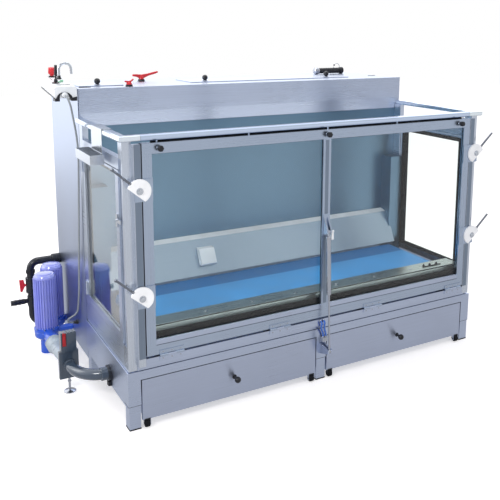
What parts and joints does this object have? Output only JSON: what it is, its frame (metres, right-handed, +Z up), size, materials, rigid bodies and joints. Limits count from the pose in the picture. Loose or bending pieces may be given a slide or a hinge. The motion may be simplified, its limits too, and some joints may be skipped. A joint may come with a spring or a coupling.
{
  "type": "dog underwater treadmill",
  "caption": "Glass-fronted steel tank with a belt treadmill inside, a hinged drop-down front door, end doors, storage drawers below and a water cabinet with pumps behind",
  "frame": {"origin": "on the floor, under the middle of the whole machine's box", "axes": "+X along the tank to the right as seen from the front, +Y to the back, +Z up"},
  "size_m": [2.4344, 1.38, 1.6395],
  "materials": {
    "brushed_steel": "brushed stainless steel sheet and tube",
    "bright_steel": "bright rolled stainless steel",
    "dark_rubber": "black rubber tread",
    "white_plastic": "white moulded plastic, satin",
    "black_plastic": "black moulded plastic, satin",
    "grey_plastic": "slate grey pipe plastic, smooth",
    "blue_paint": "violet blue enamel",
    "blue_hose": "blue flexible hose",
    "red_plastic": "red moulded plastic, glossy",
    "green_plastic": "green moulded plastic, glossy",
    "belt_blue": "blue rubber belt, fine texture",
    "glass": "clear toughened glass",
    "cable_grey": "grey cable sheath"
  },
  "bodies": {
    "treadmill": {"back_wall": "brushed_steel", "base_frame": "brushed_steel", "belt": "belt_blue", "belt_deck": "brushed_steel", "bend_pipe": "grey_plastic", "console_arm": "bright_steel", "end_frame_left": "brushed_steel", "end_frame_right": "brushed_steel", "gate_valve": "grey_plastic", "hand_shower": "black_plastic", "header_pipe": "black_plastic", "hook_tray": "bright_steel", "inlet_hood": "white_plastic", "post_left": "brushed_steel", "post_right": "brushed_steel", "pump_cable": "cable_grey", "pump_front": "blue_paint", "pump_rear": "blue_paint", "reservoir_cabinet": "brushed_steel", "side_guard_rear": "brushed_steel", "side_rail_front": "bright_steel", "sill_hoses": "blue_hose", "splash_back": "brushed_steel", "tank_floor": "brushed_steel"},
    "front_door": {"front_door_frame": "brushed_steel", "front_glass_left": "glass", "front_glass_right": "glass"},
    "strut_tube": {"strut_tube": "bright_steel"},
    "strut_rod": {"strut_rod": "bright_steel"},
    "console": {"control_console": "white_plastic"},
    "emergency_stop": {"emergency_stop": "red_plastic"},
    "speed_lever": {"speed_lever": "black_plastic"},
    "start_button": {"start_button": "green_plastic"},
    "gate_valve_handle": {"gate_valve_handle": "red_plastic"},
    "ball_valve_handle": {"ball_valve_handle": "red_plastic"},
    "wing_valve_handle": {"wing_valve_handle": "red_plastic"},
    "small_valve_handle": {"small_valve_handle": "red_plastic"},
    "drive_roller": {"drive_roller": "bright_steel"},
    "idler_roller": {"idler_roller": "bright_steel"},
    "clamp_knob_left": {"clamp_knob_left": "black_plastic"},
    "clamp_knob_middle": {"clamp_knob_middle": "black_plastic"},
    "clamp_knob_right": {"clamp_knob_right": "black_plastic"},
    "clamp_disc_upper_left": {"clamp_disc_upper_left": "white_plastic"},
    "clamp_disc_lower_left": {"clamp_disc_lower_left": "white_plastic"},
    "clamp_disc_upper_right": {"clamp_disc_upper_right": "white_plastic"},
    "clamp_disc_lower_right": {"clamp_disc_lower_right": "white_plastic"},
    "drawer_left": {"drawer_left": "brushed_steel"},
    "drawer_left_front_wheels": {"drawer_left_front_wheels": "dark_rubber"},
    "drawer_left_rear_wheels": {"drawer_left_rear_wheels": "dark_rubber"},
    "drawer_right": {"drawer_right": "brushed_steel"},
    "drawer_right_front_wheels": {"drawer_right_front_wheels": "dark_rubber"},
    "drawer_right_rear_wheels": {"drawer_right_rear_wheels": "dark_rubber"},
    "end_door_left": {"end_door_left": "brushed_steel", "end_glass_left": "glass"},
    "end_latch_left": {"end_latch_left": "bright_steel"},
    "end_door_right": {"end_door_right": "brushed_steel", "end_glass_right": "glass"},
    "end_latch_right": {"end_latch_right": "bright_steel"},
    "reservoir_lid_left": {"reservoir_lid_left": "brushed_steel"},
    "reservoir_lid_right": {"reservoir_lid_right": "brushed_steel"}
  },
  "joints": [
    {"name": "front_door_hinge", "type": "hinge", "parent": "treadmill", "child": "front_door", "pos_m": [0.10441, -0.634, 0.35], "axis": [1, 0, 0], "range_deg": [0, 90]},
    {"name": "strut_tube_hinge", "type": "hinge", "parent": "front_door", "child": "strut_tube", "pos_m": [0.10341, -0.653, 0.812], "axis": [1, 0, 0], "range_deg": [-16.99, 0]},
    {"name": "strut_rod_slide", "type": "slide", "parent": "strut_tube", "child": "strut_rod", "axis": [0, -0.043, -0.9991], "range_m": [-0.18757, 0]},
    {"name": "clamp_knob_left_turn", "type": "hinge", "parent": "front_door", "child": "clamp_knob_left", "pos_m": [-0.76859, -0.628, 1.301], "axis": [0, -1, 0], "range_deg": [0, 90]},
    {"name": "clamp_knob_middle_turn", "type": "hinge", "parent": "front_door", "child": "clamp_knob_middle", "pos_m": [0.10441, -0.628, 1.301], "axis": [0, -1, 0], "range_deg": [0, 90]},
    {"name": "clamp_knob_right_turn", "type": "hinge", "parent": "front_door", "child": "clamp_knob_right", "pos_m": [0.97741, -0.628, 1.301], "axis": [0, -1, 0], "range_deg": [0, 90]},
    {"name": "clamp_disc_upper_left_turn", "type": "hinge", "parent": "front_door", "child": "clamp_disc_upper_left", "pos_m": [-0.86559, -0.6338, 1.122], "axis": [0, -1, 0], "range_deg": [0, 130]},
    {"name": "clamp_disc_lower_left_turn", "type": "hinge", "parent": "front_door", "child": "clamp_disc_lower_left", "pos_m": [-0.86559, -0.6338, 0.638], "axis": [0, -1, 0], "range_deg": [0, 130]},
    {"name": "clamp_disc_upper_right_turn", "type": "hinge", "parent": "front_door", "child": "clamp_disc_upper_right", "pos_m": [1.09441, -0.6338, 1.128], "axis": [0, 1, 0], "range_deg": [0, 130]},
    {"name": "clamp_disc_lower_right_turn", "type": "hinge", "parent": "front_door", "child": "clamp_disc_lower_right", "pos_m": [1.09441, -0.6338, 0.654], "axis": [0, 1, 0], "range_deg": [0, 130]},
    {"name": "drawer_left_slide", "type": "slide", "parent": "treadmill", "child": "drawer_left", "axis": [0, -1, 0], "range_m": [0, 0.45]},
    {"name": "drawer_left_front_wheels_spin", "type": "hinge", "parent": "drawer_left", "child": "drawer_left_front_wheels", "pos_m": [-0.39909, -0.598, 0.0185], "axis": [1, 0, 0], "continuous": true},
    {"name": "drawer_left_rear_wheels_spin", "type": "hinge", "parent": "drawer_left", "child": "drawer_left_rear_wheels", "pos_m": [-0.39909, -0.165, 0.0185], "axis": [1, 0, 0], "continuous": true},
    {"name": "drawer_right_slide", "type": "slide", "parent": "treadmill", "child": "drawer_right", "axis": [0, -1, 0], "range_m": [0, 0.45]},
    {"name": "drawer_right_front_wheels_spin", "type": "hinge", "parent": "drawer_right", "child": "drawer_right_front_wheels", "pos_m": [0.60591, -0.598, 0.0185], "axis": [1, 0, 0], "continuous": true},
    {"name": "drawer_right_rear_wheels_spin", "type": "hinge", "parent": "drawer_right", "child": "drawer_right_rear_wheels", "pos_m": [0.60591, -0.165, 0.0185], "axis": [1, 0, 0], "continuous": true},
    {"name": "drive_roller_spin", "type": "hinge", "parent": "treadmill", "child": "drive_roller", "pos_m": [-0.76129, -0.26, 0.4117], "axis": [0, 1, 0], "continuous": true},
    {"name": "idler_roller_spin", "type": "hinge", "parent": "treadmill", "child": "idler_roller", "pos_m": [0.96811, -0.26, 0.4117], "axis": [0, 1, 0], "continuous": true},
    {"name": "end_door_left_hinge", "type": "hinge", "parent": "treadmill", "child": "end_door_left", "pos_m": [-0.93359, 0.033, 0.801], "axis": [0, 0, -1], "range_deg": [0, 90]},
    {"name": "end_latch_left_turn", "type": "hinge", "parent": "end_door_left", "child": "end_latch_left", "pos_m": [-0.92799, -0.521, 0.975], "axis": [-1, 0, 0], "range_deg": [0, 90]},
    {"name": "end_door_right_hinge", "type": "hinge", "parent": "treadmill", "child": "end_door_right", "pos_m": [1.14041, 0.033, 0.801], "axis": [0, 0, 1], "range_deg": [0, 90]},
    {"name": "end_latch_right_turn", "type": "hinge", "parent": "end_door_right", "child": "end_latch_right", "pos_m": [1.13491, -0.521, 0.975], "axis": [-1, 0, 0], "range_deg": [0, 90]},
    {"name": "console_swivel", "type": "hinge", "parent": "treadmill", "child": "console", "pos_m": [-1.01459, -0.005, 1.488], "axis": [0, 1, 0], "range_deg": [-35, 25]},
    {"name": "emergency_stop_press", "type": "slide", "parent": "console", "child": "emergency_stop", "axis": [0, 0.1132, -0.9936], "range_m": [0, 0.006], "stiffness_N_per_m": 800, "springref_m": -0.002},
    {"name": "start_button_press", "type": "slide", "parent": "console", "child": "start_button", "axis": [0, 0.1132, -0.9936], "range_m": [0, 0.003], "stiffness_N_per_m": 400, "springref_m": -0.001},
    {"name": "speed_lever_tilt", "type": "hinge", "parent": "console", "child": "speed_lever", "pos_m": [-1.03159, 0.0845, 1.5335], "axis": [1, 0, 0], "range_deg": [-15, 15], "stiffness_Nm_per_rad": 0.4},
    {"name": "gate_valve_lift", "type": "slide", "parent": "treadmill", "child": "gate_valve_handle", "axis": [0, 0, 1], "range_m": [0, 0.05]},
    {"name": "ball_valve_turn", "type": "hinge", "parent": "treadmill", "child": "ball_valve_handle", "pos_m": [-1.12959, 0.657, 0.326], "axis": [-1, 0, 0], "range_deg": [0, 90]},
    {"name": "wing_valve_handle_turn", "type": "hinge", "parent": "treadmill", "child": "wing_valve_handle", "pos_m": [-0.45159, 0.495, 1.515], "axis": [0, 0, 1], "range_deg": [0, 90]},
    {"name": "small_valve_handle_turn", "type": "hinge", "parent": "treadmill", "child": "small_valve_handle", "pos_m": [-0.64159, 0.14, 1.515], "axis": [0, 0, 1], "range_deg": [0, 90]},
    {"name": "reservoir_lid_left_lift", "type": "slide", "parent": "treadmill", "child": "reservoir_lid_left", "axis": [0, 0, 1], "range_m": [0, 0.06]},
    {"name": "reservoir_lid_right_lift", "type": "slide", "parent": "treadmill", "child": "reservoir_lid_right", "axis": [0, 0, 1], "range_m": [0, 0.06]}
  ],
  "couplings": [
    {"joint": "strut_tube_hinge", "follows": "front_door_hinge", "ratio": -0.18889},
    {"joint": "strut_rod_slide", "follows": "front_door_hinge", "m_per_rad": -0.11928},
    {"joint": "drawer_left_front_wheels_spin", "follows": "drawer_left_slide", "rad_per_m": 55.556},
    {"joint": "drawer_left_rear_wheels_spin", "follows": "drawer_left_slide", "rad_per_m": 55.556},
    {"joint": "drawer_right_front_wheels_spin", "follows": "drawer_right_slide", "rad_per_m": 55.556},
    {"joint": "drawer_right_rear_wheels_spin", "follows": "drawer_right_slide", "rad_per_m": 55.556},
    {"joint": "idler_roller_spin", "follows": "drive_roller_spin", "ratio": 1}
  ]
}
